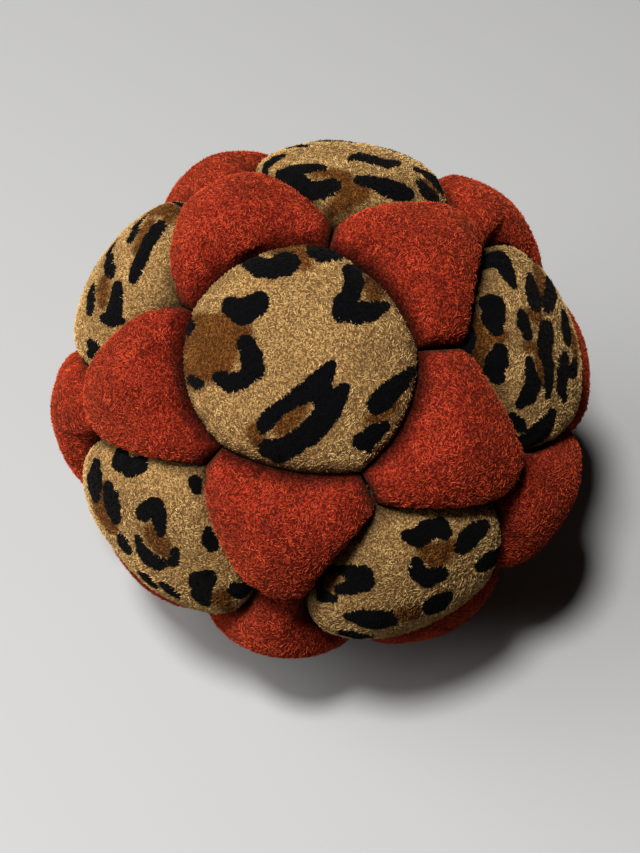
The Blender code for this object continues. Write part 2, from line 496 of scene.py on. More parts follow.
# Leopard print: strokes of dye by panel, each a run of (x, y, half width) in the photograph's pixels
printMarks = {
    1: {"black": [
        [(249, 261, 8), (259, 267, 9), (272, 269, 8.5), (284, 264, 11), (290, 262, 9)],
        [(314, 250, 7), (320, 253, 8), (330, 255, 5), (339, 257, 2.5)],
        [(231, 306, 9), (243, 312, 12), (255, 305, 11), (261, 300, 8)],
        [(190, 325, 4.5), (187, 332, 4)],
        [(192, 380, 4), (198, 384, 5)],
        [(246, 343, 8), (251, 357, 10), (254, 370, 9), (243, 380, 7.5), (230, 383, 8.5), (219, 377, 5.5)],
        [(348, 270, 5), (355, 282, 8), (351, 294, 8), (343, 303, 8), (341, 314, 7)],
        [(343, 310, 9), (358, 313, 10), (372, 311, 8.5), (385, 306, 4)],
        [(352, 270, 5), (364, 268, 3), (376, 273, 1.5)],
        [(411, 372, 4.5), (402, 381, 7), (391, 391, 9), (382, 400, 10), (376, 405, 8.5)],
        [(385, 426, 4), (373, 434, 8), (361, 442, 7), (368, 447, 5)],
        [(331, 366, 5), (325, 375, 8), (314, 386, 9), (300, 396, 8), (285, 405, 6), (272, 415, 7),
         (264, 426, 6.5)],
        [(344, 389, 5), (338, 397, 8), (330, 409, 11), (320, 422, 11), (308, 434, 10.5),
         (294, 444, 10), (280, 451, 10.5), (267, 448, 8)],
        [(318, 388, 10), (326, 402, 11)],
    ], "brown": [
        [(268, 248, 4), (283, 249, 6), (297, 250, 8), (303, 259, 7), (306, 264, 6)],
        [(200, 328, 14), (225, 329, 15), (242, 332, 9)],
        [(192, 345, 13), (213, 348, 24), (212, 362, 20), (196, 368, 14), (196, 382, 8)],
        [(371, 281, 8), (375, 292, 9)],
        [(370, 420, 5), (382, 416, 5), (396, 404, 4)],
        [(303, 406, 6), (293, 417, 8.5), (281, 429, 8)],
        [(254, 430, 7), (258, 441, 7)],
    ]},
    2: {"black": [
        [(278, 174, 3.5), (292, 171, 5), (310, 168, 4), (325, 168, 2.5)],
        [(290, 176, 6), (298, 182, 8), (308, 189, 8.5), (321, 190, 8), (333, 186, 7.5)],
        [(359, 180, 4.5), (372, 182, 5.5), (386, 187, 8), (399, 191, 8.5), (408, 194, 6)],
        [(350, 160, 2), (358, 158, 2.5), (372, 161, 3), (388, 165, 3.5), (398, 164, 2)],
        [(287, 149, 2), (300, 148.5, 2.5), (310, 150, 1.5)],
        [(283, 155, 2.5), (275, 159, 3), (266, 166, 3), (259, 172, 2.5)],
        [(415, 169, 2), (427, 174, 4), (437, 182, 5), (442, 190, 4.5)],
        [(419, 181, 2.5), (425, 190, 4.5), (434, 200, 5.5)],
    ], "brown": [
        [(316, 174, 3.5), (333, 173, 4), (346, 178, 6), (346, 190, 9), (362, 192, 8), (342, 203, 8),
         (333, 208, 6)],
        [(427, 182, 3), (436, 192, 3)],
    ]},
    3: {"black": [
        [(161, 225, 4.5), (157, 229, 6), (149, 240, 5.5), (142, 256, 5.5), (136, 270, 5), (133, 279, 4)],
        [(146, 218, 1.5), (138, 230, 2.8), (132, 243, 2)],
        [(162, 198, 1.8), (172, 199, 2.8), (181, 201, 3)],
        [(120, 243, 1.5), (114, 258, 3), (112, 269, 4), (111, 276, 3)],
        [(117, 286, 4.5), (116, 299, 5.5), (114, 311, 7), (112, 318, 8), (104, 318, 4.5)],
        [(112, 318, 7), (121, 321, 3.5)],
        [(98, 287, 2), (94, 300, 3), (91, 313, 2.5)],
        [(90, 343, 3.5), (94, 346, 4), (91, 354, 3.5)],
        [(73, 348, 2), (76, 359, 3), (82, 369, 3.2), (88, 375, 2)],
    ], "brown": [
        [(150, 214, 5), (160, 208, 8), (171, 210, 7), (168, 218, 5)],
        [(150, 222, 4), (143, 234, 3.5), (136, 250, 3)],
        [(107, 280, 3.5), (104, 292, 4.5), (102, 305, 3.5)],
    ]},
    4: {"black": [
        [(489, 262, 4), (497, 256, 7.5), (504, 264, 8), (509, 275, 5.5), (514, 286, 2.5)],
        [(489, 303, 8.5), (496, 306, 9), (494, 317, 11), (496, 329, 6.5)],
        [(500, 351, 7), (497, 362, 11), (495, 369, 9), (498, 378, 6)],
        [(470, 329, 3.5), (470, 341, 5), (467, 352, 4)],
        [(530, 276, 3), (532, 290, 5.5), (535, 301, 6), (537, 308, 3.5)],
        [(548, 267, 3.5), (551, 281, 6), (549, 297, 6.5), (548, 309, 4)],
        [(522, 247, 3), (530, 254, 4.5), (535, 261, 3)],
        [(522, 314, 4), (524, 324, 5.5), (528, 336, 4)],
        [(546, 326, 5.5), (546, 340, 7), (545, 352, 6), (549, 366, 4.5), (549, 384, 4), (548, 396, 2.5)],
        [(529, 360, 3), (531, 372, 5), (533, 386, 7.5), (529, 396, 7.5), (521, 404, 4.5)],
        [(561, 313, 3), (563, 325, 4.5), (566, 343, 3.5)],
        [(563, 355, 3), (563, 372, 5), (562, 390, 4), (564, 400, 2.5)],
        [(573, 362, 3), (571, 374, 4.5)],
        [(513, 416, 3), (519, 423, 5), (523, 428, 4)],
        [(553, 412, 3.5), (548, 422, 6.5), (540, 432, 8.5), (530, 442, 8), (518, 446, 6)],
    ], "brown": [
        [(476, 316, 3), (479, 330, 6), (484, 342, 8), (478, 354, 7), (484, 372, 5)],
        [(484, 340, 7), (498, 340, 5), (506, 336, 4)],
        [(536, 266, 4), (541, 278, 6), (542, 295, 5.5)],
        [(531, 313, 5), (538, 318, 5.5)],
        [(530, 347, 6), (538, 350, 5)],
        [(540, 358, 4), (540, 370, 5), (541, 382, 4)],
        [(568, 330, 3), (572, 345, 4), (573, 357, 3)],
    ]},
    5: {"black": [
        [(121, 450, 5), (121, 463, 8.5), (130, 468, 9), (139, 465, 8), (143, 460, 4)],
        [(96, 462, 3), (95, 476, 6), (98, 488, 5), (101, 497, 3)],
        [(108, 484, 2.5), (112, 495, 5), (116, 507, 5), (120, 518, 3.5)],
        [(144, 513, 8.5), (153, 507, 8.5), (158, 514, 7.5), (160, 524, 5.5), (161, 534, 3.5)],
        [(140, 535, 1.5), (144, 546, 3), (152, 556, 4), (163, 563, 4)],
        [(175, 552, 4), (174, 561, 5.5)],
        [(197, 580, 8), (206, 581, 9), (202, 592, 9.5), (206, 602, 5)],
        [(125, 533, 2.5), (129, 541, 4.5), (134, 547, 3)],
        [(146, 568, 2), (152, 573, 4), (159, 581, 3)],
        [(166, 580, 2.5), (173, 587, 4), (180, 594, 3)],
        [(208, 532, 4), (209, 540, 6.5), (212, 546, 6)],
        [(195, 482, 6), (197, 490, 4)],
        [(235, 590, 7), (245, 592, 7)],
    ], "brown": [
        [(104, 486, 4), (103, 498, 6), (108, 511, 7), (117, 525, 6)],
        [(149, 529, 4), (155, 538, 7), (162, 546, 8), (167, 554, 4)],
        [(214, 600, 6), (222, 598, 8), (228, 606, 6)],
    ]},
    6: {"black": [
        [(407, 536, 5.5), (418, 538, 9), (428, 531, 9.5), (440, 527, 8.5), (445, 533, 6.5)],
        [(484, 526, 5.5), (477, 531, 8.5), (468, 540, 9), (461, 549, 6)],
        [(417, 562, 4.5), (417, 572, 7.5), (428, 579, 8.5), (441, 574, 7)],
        [(342, 570, 4), (352, 573, 6.5), (363, 577, 10), (366, 583, 7.5), (352, 587, 7), (339, 590, 4)],
        [(330, 571, 4), (320, 577, 5), (315, 587, 6), (322, 596, 5.5), (334, 599, 3)],
        [(347, 616, 3), (360, 618, 6.5), (377, 619, 7.5), (391, 617, 6)],
        [(449, 596, 4), (440, 602, 7), (429, 607, 6)],
        [(500, 552, 4), (492, 559, 7), (481, 567, 5)],
        [(340, 632, 2), (355, 635, 3.5), (372, 636, 2.5)],
    ], "brown": [
        [(426, 553, 8), (437, 556, 13), (449, 549, 8)],
        [(333, 577, 4.5), (329, 584, 5), (328, 589, 3)],
        [(402, 613, 6), (415, 611, 6.5)],
    ]},
}
# Out of the photograph's sight the print goes on in rosettes of like size
rosette = {
    "pitch": 6.2,  # mm from one to the next
    "rowPitch": 0.87,  # of that, from one row to the next
    "stray": 0.7,  # mm that one strays from its place
    "reach": 13.5,  # mm from a panel's middle to the last ones
    "radius": 1.9,
    "width": (0.85, 1.25),  # of the radius, across
    "height": (0.65, 0.95),
    "strokes": 4,
    "strokeLength": (0.45, 1.05),  # as shares of the way to the next stroke
    "strokeStray": 0.12,
    "strokeEnds": (0.75, 1.1),  # as shares of a stroke's own half width
    "halfWidth": (0.55, 0.85),
    "brownStray": 0.3,
    "brownHalfWidth": (1.15, 1.25),
    "apart": 3.2,  # least distance from a mark that the photograph shows
    "turnedAway": 0.22,  # cosine of the angle to the camera under which a place counts as unseen
    "seed": 12,
}
dye = {
    "faceRadius": 25.7,  # mm from the ball's middle to the face of the print
    "blend": 0.22,  # mm over which two strokes run together
    "spread": 0.14,  # mm that the dye creeps outwards
    "none": -9.0,  # mm inside a stroke, for a place without dye
    "mostShift": 0.06,  # as an angle, by which the unevenness of a face may move the print
    "mostStretch": 3,  # times that the print may be longer one way than the other
}


def directionOf(pixel):
    right, up, back = cameraAxes()
    offset = (np.array(pixel, float) - view["ballPixel"]) / view["focalPixels"]
    ray = (right * offset[..., :1] - up * offset[..., 1:] - back) / settled
    start = back * view["distance"] / settled
    radius = dye["faceRadius"] / 1000
    a, b = (ray ** 2).sum(-1), ray @ start
    far = (b + np.sqrt(np.maximum(b * b - a * (start @ start - radius ** 2), 0))) / a
    return unit(start - ray * far[..., None])


def pixelsOf(places):
    right, up, back = cameraAxes()
    depth = view["distance"] - places @ back
    across = np.stack([places @ right, -places @ up], -1) / depth[..., None]
    return view["ballPixel"] + across * view["focalPixels"]


# Where the camera sees the points of a face, as directions that a smooth ball would show there
def shownDirections(item):
    toCamera = np.clip(item["faceDirection"] @ cameraAxes()[2] / 0.2, 0, 1)
    shift = directionOf(pixelsOf(item["face"] - ballMiddle)) - item["faceDirection"]
    length = np.maximum(np.linalg.norm(shift, axis=1), smallest["length"])
    shift *= (toCamera * np.minimum(length, dye["mostShift"]) / length)[:, None]
    return unit(item["faceDirection"] + shift)


# A direction as millimetres along the face of a panel, from the panel's middle, and back
def onPanel(axis, directions):
    right, up = frameOf(axis)
    angle = np.arccos(np.clip(directions @ axis, -1, 1))
    flat = np.stack([directions @ right, directions @ up], -1)
    length = np.maximum(np.linalg.norm(flat, axis=-1), smallest["length"])
    return flat * (angle / length)[..., None] * dye["faceRadius"]


def offPanel(axis, spot):
    right, up = frameOf(axis)
    angle = np.linalg.norm(spot) / dye["faceRadius"]
    towards = (right * spot[0] + up * spot[1]) / max(np.linalg.norm(spot), smallest["length"])
    return axis * math.cos(angle) + towards * math.sin(angle)


# How millimetres turn into pixels at one spot of a panel
def pixelScale(axis, spot):
    step = 0.2  # mm
    ends = [spot + step * np.array(way) for way in ((1, 0), (-1, 0), (0, 1), (0, -1))]
    places = np.array([offPanel(axis, end) for end in ends]) * settled * dye["faceRadius"] / 1000
    pixels = pixelsOf(places)
    scale = np.stack([pixels[0] - pixels[1], pixels[2] - pixels[3]], 1) / (2 * step)
    turn, size, back = np.linalg.svd(scale)
    size = np.maximum(size, size[0] / dye["mostStretch"])
    return turn @ np.diag(size) @ back, math.sqrt(size[0] * size[1])


# Depth inside the nearest stroke, in millimetres: above 0 is dyed
def strokeDepth(spots, strokes, axis, seen):
    depth = np.full(len(spots), dye["none"] - dye["spread"])
    for stroke in strokes:
        for (x1, y1, r1), (x2, y2, r2) in zip(stroke, stroke[1:]):
            start, end = np.array([x1, y1], float), np.array([x2, y2], float)
            middle = (start + end) / 2
            scale, size = np.eye(2), 1.0
            if seen:
                spot = onPanel(axis, directionOf(middle))
                scale, size = pixelScale(axis, spot)
                local = (spots - spot) @ scale.T
            else:
                local = spots - middle
            from1, run = local - (start - middle), end - start
            part = np.clip(from1 @ run / max(run @ run, smallest["length"]), 0, 1)
            near = np.linalg.norm(from1 - part[:, None] * run, axis=1)
            one = (r1 + (r2 - r1) * part - near) / size
            mix = np.clip(0.5 + 0.5 * (one - depth) / dye["blend"], 0, 1)
            depth = depth * (1 - mix) + one * mix + dye["blend"] * mix * (1 - mix)
    return depth + dye["spread"]


def scatterRosettes(item, taken):
    chance = np.random.default_rng(rosette["seed"] + item["number"])
    backward = cameraAxes()[2]
    marks = {"black": [], "brown": []}
    middles = []
    for row, column in itertools.product(range(-3, 4), repeat=2):
        middle = np.array([column + 0.5 * (row % 2), row * rosette["rowPitch"]]) * rosette["pitch"]
        middle = middle + chance.normal(0, rosette["stray"], 2)
        seen = offPanel(item["axis"], middle) @ backward > rosette["turnedAway"]
        if np.linalg.norm(middle) < rosette["reach"] and not (item["number"] in printMarks and seen):
            if not len(taken) or np.linalg.norm(taken - middle, axis=1).min() > rosette["apart"]:
                middles.append(middle)
    for middle in middles:
        turn = chance.uniform(0, math.pi)
        wide, flat = chance.uniform(*rosette["width"]), chance.uniform(*rosette["height"])
        count = rosette["strokes"] + int(chance.integers(-1, 1))
        gaps = np.sort(chance.uniform(0, 2 * math.pi, 1)) + np.arange(count) * 2 * math.pi / count
        tilt = np.array([[math.cos(turn), -math.sin(turn)], [math.sin(turn), math.cos(turn)]])
        for gap in gaps:
            span = chance.uniform(*rosette["strokeLength"]) * math.pi / count
            angles = gap + np.linspace(-span / 2, span / 2, 3) * 1.3
            width = chance.uniform(*rosette["halfWidth"])
            ring = np.stack([np.cos(angles) * wide, np.sin(angles) * flat], 1) * rosette["radius"]
            points = ring @ tilt.T + middle + chance.normal(0, rosette["strokeStray"], (3, 2))
            marks["black"].append([
                (*point, width * chance.uniform(*rosette["strokeEnds"])) for point in points])
        centre = middle + chance.normal(0, rosette["brownStray"], 2)
        reach = tilt @ np.array([0.5 * wide, 0])
        first, last = rosette["brownHalfWidth"]
        marks["brown"].append([(*(centre - reach), first), (*(centre + reach), last)])
    return marks


def printDepths(item):
    spots = onPanel(item["axis"], item["faceDirection"])
    shownSpots = onPanel(item["axis"], shownDirections(item))
    shown = printMarks.get(item["number"], {"black": [], "brown": []})
    points = [point[:2] for strokes in shown.values() for stroke in strokes for point in stroke]
    taken = np.array([onPanel(item["axis"], directionOf(point)) for point in points])
    hidden = scatterRosettes(item, taken)
    depths = {}
    for colour in ("black", "brown"):
        seen = strokeDepth(shownSpots, shown[colour], item["axis"], True)
        unseen = strokeDepth(spots, hidden[colour], item["axis"], False)
        depths[colour + "Dye"] = np.maximum(seen, unseen)
    return depths


# The nap of the suede: curled tufts, the pits between them, and areas brushed one way or the other
nap = {
    "tuft": 0.00025,  # from one tuft to the next
    "curl": 0.00006,  # how far the tufts wind about
    "fibre": 0.00010,
    "depth": 0.00009,
    "brushed": 0.0045,
    "edge": 0.0019,  # height above a seam up to which the tufts thin out and the colour is darkened as painted shade
    "shown": 0.60,  # share of the pattern's height that colours the suede under the tufts, which keeps it darker there: painted shade under the tufts
    "rest": 0.00003,  # above the floor, for the suede and the tufts that the ball lies on
    "hemRest": 0.00005,
}


# Presses what lies below the floor flat on it
def rested(mesh):
    places = placesOf(mesh)
    places[:, 2] = np.maximum(places[:, 2], nap["rest"])
    mesh.vertices.foreach_set("co", places.ravel())
    return places


# The settled face of a panel, once more divided, with the print on its points
def panelFace(item):
    coarse = meshOf("face", item["places"], [], item["quads"].tolist())
    face = divided(coarse, 1, "CATMULL_CLARK")
    item["face"] = rested(face)
    item["faceDirection"], radius = fromMiddle(item["face"])
    values = {"onFace": np.clip((radius - ball["grooveRadius"]) / nap["edge"], 0, 1)}
    if item["kind"] == "leopard":
        values.update(printDepths(item))
    for name, numbers in values.items():
        layer = face.attributes.new(name, "FLOAT", "POINT")
        layer.data.foreach_set("value", numbers.astype(np.float32))
    return face


# A mesh that is built by hand, as a piece with smooth faces
def handMade(mesh, name, material):
    data = bpy.data.meshes.new(name)
    mesh.to_mesh(data)
    mesh.free()
    data.shade_smooth()
    data.materials.append(material)
    return placed(name, data)


def panelPiece(item):
    item["faceMesh"] = panelFace(item)
    mesh = bmesh.new()
    mesh.from_mesh(item["faceMesh"])
    rim = [edge for edge in mesh.edges if edge.is_boundary]
    for _ in range(2):  # the turned-in hem
        grown = bmesh.ops.extrude_edge_only(mesh, edges=rim)["geom"]
        for vertex in (part for part in grown if isinstance(part, bmesh.types.BMVert)):
            inward = Vector(ballMiddle) - vertex.co
            vertex.co += inward.normalized() * ball["hem"] / 2
        rim = [part for part in grown if isinstance(part, bmesh.types.BMEdge) and part.is_boundary]
    for vertex in mesh.verts:
        vertex.co.z = max(vertex.co.z, nap["hemRest"])
    bmesh.ops.recalc_face_normals(mesh, faces=mesh.faces)
    mesh.faces.ensure_lookup_table()
    if mesh.faces[0].normal.dot(Vector(item["axis"])) < 0:
        bmesh.ops.reverse_faces(mesh, faces=mesh.faces)
    piece = handMade(mesh, item["node"] + "_suede", materials[item["kind"]])
    shell = piece.modifiers.new("Fabric", "SOLIDIFY")
    shell.thickness = ball["fabric"]
    shell.offset = -1
    return piece


# Sets a node's inputs, or links them to the outputs of other nodes
def feed(tree, node, sources):
    for name, value in sources.items():
        socket = node.inputs[name]
        if isinstance(value, bpy.types.NodeSocket):
            tree.links.new(value, socket)
        else:
            socket.default_value = (*value, 1) if socket.type == "RGBA" else value


# Gives the outputs of a new node
def addNode(tree, kind, sources=None, **settings):
    node = tree.nodes.new(kind)
    for name, value in settings.items():
        setattr(node, name, value)
    feed(tree, node, sources or {})
    return node.outputs


def maths(tree, operation, *values):
    return addNode(tree, "ShaderNodeMath", dict(enumerate(values)), operation=operation)[0]


def vectorMaths(tree, operation, sources):
    return addNode(tree, "ShaderNodeVectorMath", sources, operation=operation)[0]


def noiseOf(tree, place, scale, detail, **others):
    return addNode(tree, "ShaderNodeTexNoise", {
        "Vector": place, "Scale": scale, "Detail": detail, **others})


def attribute(tree, name):
    return addNode(tree, "ShaderNodeAttribute", attribute_name=name)["Fac"]


def objectPlace(tree):
    return addNode(tree, "ShaderNodeTexCoord")["Object"]


def ramp(tree, factor, stops):
    colours = addNode(tree, "ShaderNodeValToRGB", {"Fac": factor})["Color"]
    elements = colours.node.color_ramp.elements
    for place, colour in stops[2:]:
        elements.new(place)
    for element, (place, colour) in zip(elements, sorted(stops)):
        element.position = place
        element.color = (*colour, 1) if isinstance(colour, tuple) else (colour, colour, colour, 1)
    return colours


def mixed(tree, factor, one, other, blend="MIX"):
    sources = {0: factor, 6: one, 7: other}
    return addNode(tree, "ShaderNodeMix", sources, data_type="RGBA", blend_type=blend)[2]


def emptyMaterial(name):
    material = bpy.data.materials.new(name)
    material.use_nodes = True
    return material, material.node_tree, material.node_tree.nodes["Principled BSDF"]


def brushedOf(tree, place):
    return noiseOf(tree, place, 1 / nap["brushed"], 3.0, Roughness=0.55)["Fac"]


# Height of the nap between the pits and the tips
def napHeight(tree, place):
    wind = noiseOf(tree, place, 0.5 / nap["tuft"], 1.0)["Color"]
    centred = vectorMaths(tree, "SUBTRACT", {0: wind, 1: (0.5, 0.5, 0.5)})
    offset = vectorMaths(tree, "SCALE", {0: centred, "Scale": nap["curl"] * 8})
    curled = vectorMaths(tree, "ADD", {0: place, 1: offset})
    tufts = addNode(tree, "ShaderNodeTexVoronoi", {
        "Vector": curled, "Scale": 1 / nap["tuft"], "Smoothness": 0.35}, feature="SMOOTH_F1")
    worms = noiseOf(tree, curled, 1.1 / nap["tuft"], 0.0, Distortion=0.5)["Fac"]
    fibres = noiseOf(tree, place, 1 / nap["fibre"], 2.0, Roughness=0.6)["Fac"]
    ridge = maths(tree, "ABSOLUTE", maths(tree, "SUBTRACT", worms, 0.5))
    ridge = maths(tree, "SUBTRACT", 1.0, maths(tree, "MULTIPLY", ridge, 7.0))
    ridge = maths(tree, "MAXIMUM", ridge, 0.0)
    knobs = maths(tree, "SUBTRACT", 1.0, maths(tree, "MULTIPLY", tufts["Distance"], 1.5))
    height = maths(tree, "MULTIPLY_ADD", knobs, 0.50, maths(tree, "MULTIPLY", ridge, 0.32))
    return maths(tree, "MULTIPLY_ADD", fibres, 0.45, maths(tree, "SUBTRACT", height, 0.22))


# Colours from the bottom of the nap to its tips, darker in the pits as painted shade and lighter on the
# tips as painted highlight over the suede's own tone, and what brushing it either way does to them
rustSuede = {
    "pit": (0.10, 0.008, 0.004),
    "low": (0.37, 0.030, 0.0115),
    "face": (0.56, 0.059, 0.0210),
    "tip": (0.90, 0.158, 0.054),
    "brushing": (0.78, 1.18),
    "sheen": 0.10,
    "sheenTint": (1.0, 0.38, 0.16),
}
leopardSuede = {
    "pit": (0.16, 0.080, 0.028),
    "low": (0.45, 0.263, 0.090),
    "face": (0.70, 0.436, 0.158),
    "tip": (0.93, 0.660, 0.300),
    "brushing": (0.86, 1.12),
    "brown": (0.36, 0.22, 0.12),  # what the brown dye leaves of the tan
    "black": (0.0022, 0.0022, 0.0028),
    # lighter black for the nap's high points: painted highlight
    "blackTip": (0.0070, 0.0066, 0.0084),
    "softness": {"black": 0.05, "brown": 0.34},  # mm over which a dye runs out
    "ragged": 0.16,  # mm that the nap scatters the edge of a mark
    "raggedScale": 2600.0,
    "sheen": 0.03,
    "sheenTint": (1.0, 0.86, 0.62),
}
paintedSeamShade = 0.17  # what is left of the colour where the seams darken it: painted shade
# A standing tuft's place between the pits and the tips: its own tone at random, darker at the root as
# painted shade and lighter at the tip as painted highlight
tuftTone = {"root": 0.30, "ownShade": 0.28, "tip": 0.38}


def tuftHeight(tree):
    own, tip = attribute(tree, "tuftShade"), attribute(tree, "tip")
    root = maths(tree, "MULTIPLY_ADD", own, tuftTone["ownShade"], tuftTone["root"])
    return maths(tree, "MULTIPLY_ADD", tip, tuftTone["tip"], root)


def suedeColour(tree, finish, height, brushed):
    colour = ramp(tree, height, [
        (0.10, finish["pit"]), (1.0, finish["tip"]), (0.28, finish["low"]), (0.55, finish["face"])])
    shade = ramp(tree, brushed, list(zip((0.30, 0.70), finish["brushing"])))
    colour = mixed(tree, 1.0, colour, shade, "MULTIPLY")
    # Painted shade: the colour darkens into the seams
    paintedSeamShading = ramp(tree, attribute(tree, "onFace"), [(0.0, paintedSeamShade), (0.95, 1.0)])
    return mixed(tree, 1.0, colour, paintedSeamShading, "MULTIPLY")


def printed(tree, colour, place, height):
    bleed = noiseOf(tree, place, leopardSuede["raggedScale"], 2.0, Roughness=0.7)["Fac"]
    scatter = maths(tree, "MULTIPLY", maths(tree, "SUBTRACT", bleed, 0.5), leopardSuede["ragged"] * 4)
    masks = {}
    for name, soft in leopardSuede["softness"].items():
        depth = maths(tree, "ADD", attribute(tree, name + "Dye"), scatter)
        masks[name] = addNode(tree, "ShaderNodeMapRange", {
            "Value": depth, "From Min": -soft, "From Max": soft})["Result"]
    dyed = mixed(tree, 1.0, colour, leopardSuede["brown"], "MULTIPLY")
    colour = mixed(tree, masks["brown"], colour, dyed)
    # The black dye is lighter on the nap's high points: painted highlight
    black = ramp(tree, height, [(0.45, leopardSuede["black"]), (0.95, leopardSuede["blackTip"])])
    return mixed(tree, masks["black"], colour, black)


# Suede for the panels themselves, or for the tufts that stand on them
def suedeMaterial(name, finish, standing):
    material, tree, shader = emptyMaterial(name)
    place = objectPlace(tree)
    if standing:
        height = tuftHeight(tree)
    else:
        pattern = napHeight(tree, place)
        # The bump's pattern also sets the colour: darker in the pits as painted shade, lighter on the
        # tips as painted highlight, and lowered under the tufts as painted shade
        height = maths(tree, "MULTIPLY", pattern, nap["shown"])
        feed(tree, shader, {"Normal": addNode(tree, "ShaderNodeBump", {
            "Height": pattern, "Distance": nap["depth"], "Strength": 1.0})["Normal"]})
    colour = suedeColour(tree, finish, height, brushedOf(tree, place))
    if finish is leopardSuede:
        colour = printed(tree, colour, place, height)
    feed(tree, shader, {
        "Base Color": colour, "Roughness": 0.95, "Specular IOR Level": 0.05, "Sheen Roughness": 0.45,
        "Sheen Weight": finish["sheen"], "Sheen Tint": finish["sheenTint"]})
    return material


# Loose pellets, seen from outside only as the lumps that they press into the suede
fill = {
    "under": 0.0011,  # from the face of a panel to the pellets
    "hemRadius": 0.0206,  # inside the turned-in edges
    "hemReach": 0.0014,
    "lowest": 0.0014,  # above the floor
    "pellet": 0.0022,
    "bump": 0.0008,
    "plastic": (0.74, 0.72, 0.66),
    # darker between the pellets: painted shade in the gaps
    "between": (0.20, 0.19, 0.17),
}
threadFinish = {
    # dark in the grooves of the twist, light on its ridges: painted shade
    "dark": (0.055, 0.010, 0.006),
    "light": (0.20, 0.035, 0.018),
    "ply": 0.00022,  # from one turn of the twisted thread to the next
    "bump": 0.00004,
}


def threadMaterial():
    material, tree, shader = emptyMaterial("seamThread")
    ply = addNode(tree, "ShaderNodeTexWave", {
        "Vector": objectPlace(tree), "Scale": 0.05 / threadFinish["ply"],
        "Distortion": 4.0, "Detail": 1.0}, bands_direction="DIAGONAL")["Fac"]
    bump = addNode(tree, "ShaderNodeBump", {"Height": ply, "Distance": threadFinish["bump"]})
    # Darker in the grooves between the plies: painted shade
    colour = ramp(tree, ply, [(0.2, threadFinish["dark"]), (0.9, threadFinish["light"])])
    feed(tree, shader, {
        "Base Color": colour, "Normal": bump["Normal"], "Roughness": 0.8, "Specular IOR Level": 0.1})
    return material


def pelletMaterial():
    material, tree, shader = emptyMaterial("fillPellets")
    cells = addNode(tree, "ShaderNodeTexVoronoi", {
        "Vector": objectPlace(tree), "Scale": 1 / fill["pellet"]})["Distance"]
    dome = maths(tree, "SUBTRACT", 1.0, cells)
    bump = addNode(tree, "ShaderNodeBump", {"Height": dome, "Distance": fill["bump"]})
    # Darker at the pellets' edges than on their domes: painted shade in the gaps
    colour = ramp(tree, cells, [(0.25, fill["plastic"]), (0.75, fill["between"])])
    feed(tree, shader, {"Base Color": colour, "Normal": bump["Normal"], "Roughness": 0.45})
    return material


materials = {
    "leopard": suedeMaterial("leopardSuede", leopardSuede, False),
    "leopardNap": suedeMaterial("leopardNap", leopardSuede, True),
    "rust": suedeMaterial("rustSuede", rustSuede, False),
    "rustNap": suedeMaterial("rustNap", rustSuede, True),
    "thread": threadMaterial(),
    "pellets": pelletMaterial(),
}
for item in panels:
    piece = panelPiece(item)
    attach(piece, "root")
    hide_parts(item["node"])
print("panels: stuffed")


# A node tree with the given inputs, their sockets and the node that the result goes to
def emptyTree(name, sizes):
    tree = bpy.data.node_groups.new(name, "GeometryNodeTree")
    kinds = {int: "NodeSocketInt", float: "NodeSocketFloat", type(None): "NodeSocketMaterial"}
    for way in ("INPUT", "OUTPUT"):
        tree.interface.new_socket("Geometry", in_out=way, socket_type="NodeSocketGeometry")
    for label, value in sizes.items():
        socket = tree.interface.new_socket(label, in_out="INPUT", socket_type=kinds[type(value)])
        if value is not None:
            socket.default_value = value
    return tree, tree.nodes.new("NodeGroupInput").outputs, tree.nodes.new("NodeGroupOutput")


# The piece that a tree makes of a mesh, with the tree's inputs set by their identifiers
def grow(tree, mesh, name, sizes):
    sockets = [socket for socket in tree.interface.items_tree if socket.in_out == "INPUT"]
    inputs = [(socket.identifier, sizes[socket.name]) for socket in sockets if socket.name in sizes]
    made = modified(mesh, "NODES", {"node_group": tree}, inputs)
    made.name = name
    return placed(name, made)


def rotated(tree, rotation, by):
    sources = {"Rotation": rotation, "Rotate By": by}
    return addNode(tree, "FunctionNodeRotateRotation", sources, rotation_space="LOCAL")[0]


def chance(tree, least, most, seed):
    return addNode(tree, "FunctionNodeRandomValue", {2: least, 3: most, 8: seed}, data_type="FLOAT")[1]


def combined(tree, **parts):
    return addNode(tree, "ShaderNodeCombineXYZ", parts)[0]


def stored(tree, geometry, name, value, domain, kind="FLOAT"):
    sources = {"Geometry": geometry, "Name": name, "Value": value}
    return addNode(tree, "GeometryNodeStoreNamedAttribute", sources, data_type=kind, domain=domain)[0]


def named(tree, name, kind):
    return addNode(tree, "GeometryNodeInputNamedAttribute", {"Name": name}, data_type=kind)[0]


def coloured(tree, end, geometry, material):
    last = addNode(tree, "GeometryNodeSetMaterial", {"Geometry": geometry, "Material": material})
    feed(tree, end, {"Geometry": last[0]})


